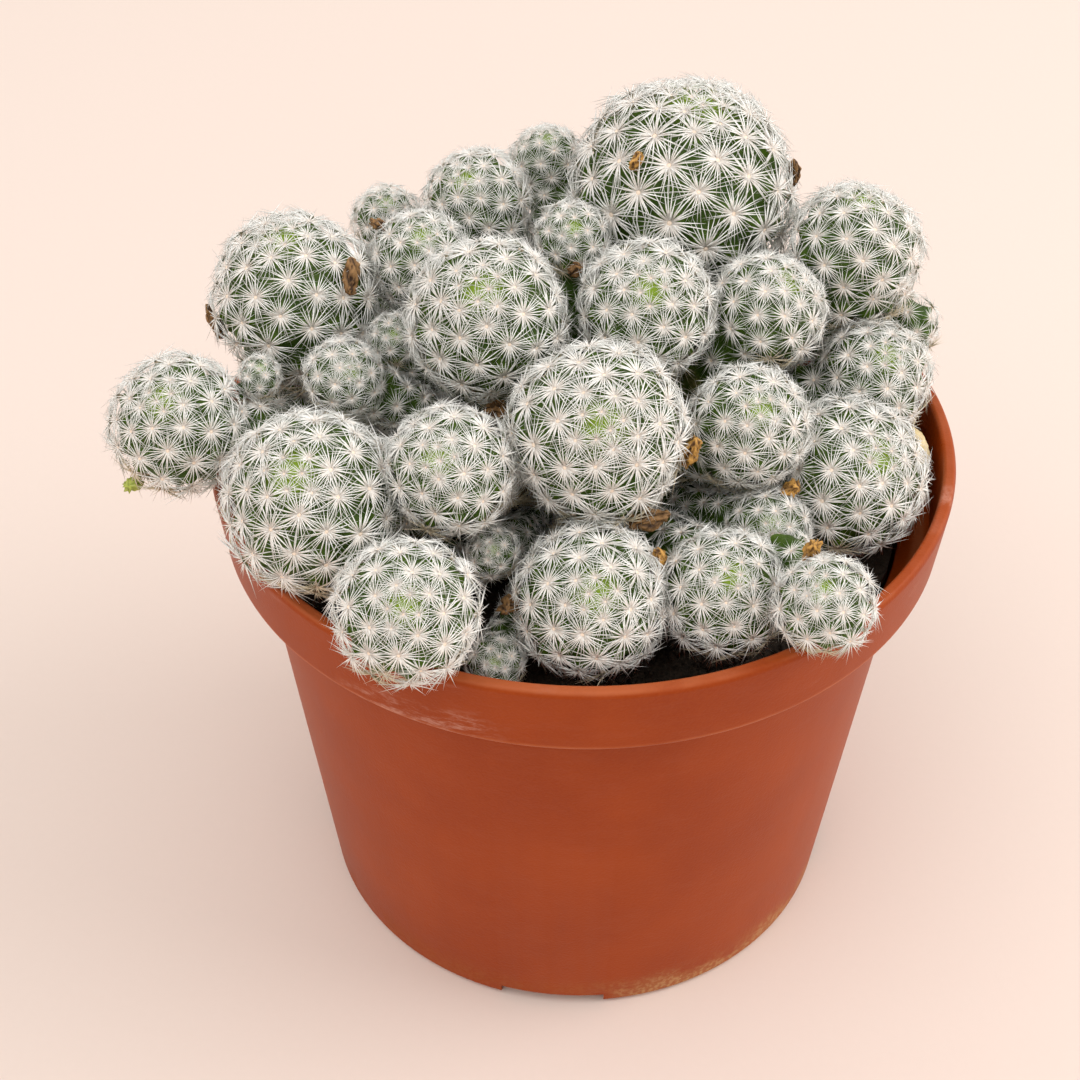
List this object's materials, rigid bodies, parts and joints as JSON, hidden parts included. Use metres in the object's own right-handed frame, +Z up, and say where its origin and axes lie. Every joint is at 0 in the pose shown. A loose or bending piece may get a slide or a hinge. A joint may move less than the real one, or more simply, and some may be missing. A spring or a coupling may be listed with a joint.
{
  "type": "potted round cactus",
  "caption": "Clump-forming round cactus with white spine stars, filling and spilling over a round terracotta-coloured plastic nursery pot.",
  "frame": {"origin": "middle of the object's footprint box on the surface that it stands on; the pot's axis stands 5.6 mm towards +X and 1.4 mm towards +Y of it, because the clump hangs over the rim on the -X side", "axes": "+Z up along the pot's axis; -Y towards the front that shows the foot notch nearest the middle"},
  "size_m": [0.1311, 0.1231, 0.1346],
  "materials": {
    "pot_plastic": "satin terracotta-coloured moulded plastic, faint scuffs and soil marks",
    "potting_soil": "matte, dark and crumbly peat-based potting soil",
    "cactus_skin": "dark green cactus skin with a slight sheen, brighter green at the growing tips, tan and corky low down",
    "spines": "thin chalky white spines, cream to pinkish at their bases",
    "dried_flower": "papery dried flower remains, golden brown to dark brown",
    "bud_green": "yellow-green waxy bud",
    "bare_stem": "pale yellow, dry old stem without spines"
  },
  "bodies": {
    "root": {"pot": "pot_plastic", "soil": "potting_soil", "head_top": "cactus_skin", "head_right_back": "cactus_skin", "head_right": "cactus_skin", "head_right_front": "cactus_skin", "head_right_inner": "cactus_skin", "head_middle": "cactus_skin", "head_left_inner": "cactus_skin", "head_left_front": "cactus_skin", "head_over_rim": "cactus_skin", "head_left_back": "cactus_skin", "head_upper_left": "cactus_skin", "head_back_left": "cactus_skin", "head_back_pale": "cactus_skin", "head_back_dark": "cactus_skin", "head_upper_small": "cactus_skin", "head_crown_left": "cactus_skin", "head_crown_right": "cactus_skin", "head_upper_right": "cactus_skin", "head_front_left": "cactus_skin", "head_front": "cactus_skin", "head_front_right": "cactus_skin", "pup_on_rim": "cactus_skin", "pup_left": "cactus_skin", "pup_front_upper": "cactus_skin", "pup_front_lower": "cactus_skin", "pup_far_left": "cactus_skin", "pup_gap_left": "cactus_skin", "pup_gap_right": "cactus_skin", "pup_far_right": "cactus_skin", "head_rear_1": "cactus_skin", "head_rear_2": "cactus_skin", "head_rear_3": "cactus_skin", "head_rear_4": "cactus_skin", "head_rear_5": "cactus_skin", "head_rear_6": "cactus_skin", "pup_rear": "cactus_skin", "head_low_left": "cactus_skin", "pup_low_left": "cactus_skin", "pup_low_front": "cactus_skin", "pup_low_front_left": "cactus_skin", "dried_flower_1": "dried_flower", "dried_flower_2": "dried_flower", "dried_flower_3": "dried_flower", "dried_flower_4": "dried_flower", "dried_flower_5": "dried_flower", "dried_flower_6": "dried_flower", "dried_flower_7": "dried_flower", "dried_flower_8": "dried_flower", "dried_flower_9": "dried_flower", "dried_flower_10": "dried_flower", "dried_flower_11": "dried_flower", "dried_flower_12": "dried_flower", "dried_flower_13": "dried_flower", "bud": "bud_green", "bare_stem": "bare_stem"}
  },
  "joints": []
}
